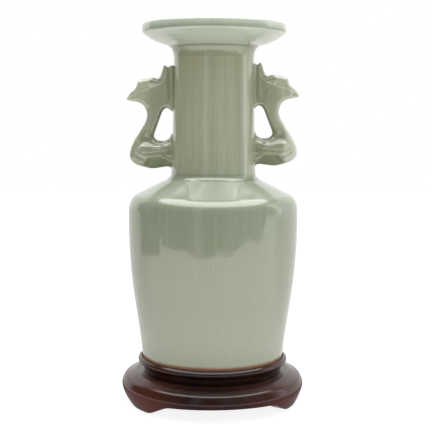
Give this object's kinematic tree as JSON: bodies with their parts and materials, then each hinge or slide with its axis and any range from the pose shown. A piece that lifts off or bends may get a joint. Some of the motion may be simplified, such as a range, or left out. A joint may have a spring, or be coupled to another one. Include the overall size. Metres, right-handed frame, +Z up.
{
  "type": "celadon vase",
  "caption": "Celadon mallet vase with a dish mouth and two bird-shaped handles on the neck, resting in a round carved wooden stand with bracket feet.",
  "frame": {"origin": "on the floor, under the middle of the stand", "axes": "+Z up along the vase's axis, +X towards the right-hand handle, -Y towards the front"},
  "size_m": [0.1418, 0.1418, 0.2897],
  "materials": {
    "celadon_glaze": "thick glossy grey-green celadon glaze, browner and thinner on edges and ridges",
    "dark_hardwood": "carved dark hardwood with a satin lacquer, worn redder on its edges"
  },
  "bodies": {
    "stand": {"stand_seat_ring": "dark_hardwood", "stand_panel": "dark_hardwood", "stand_base": "dark_hardwood"},
    "vase": {"vase_body": "celadon_glaze", "vase_neck": "celadon_glaze", "dish_mouth": "celadon_glaze", "phoenix_handle_right": "celadon_glaze", "phoenix_handle_left": "celadon_glaze"}
  },
  "joints": [
    {"name": "vase_lift", "type": "slide", "parent": "stand", "child": "vase", "axis": [0, 0, 1], "range_m": [0, 0.04]}
  ]
}
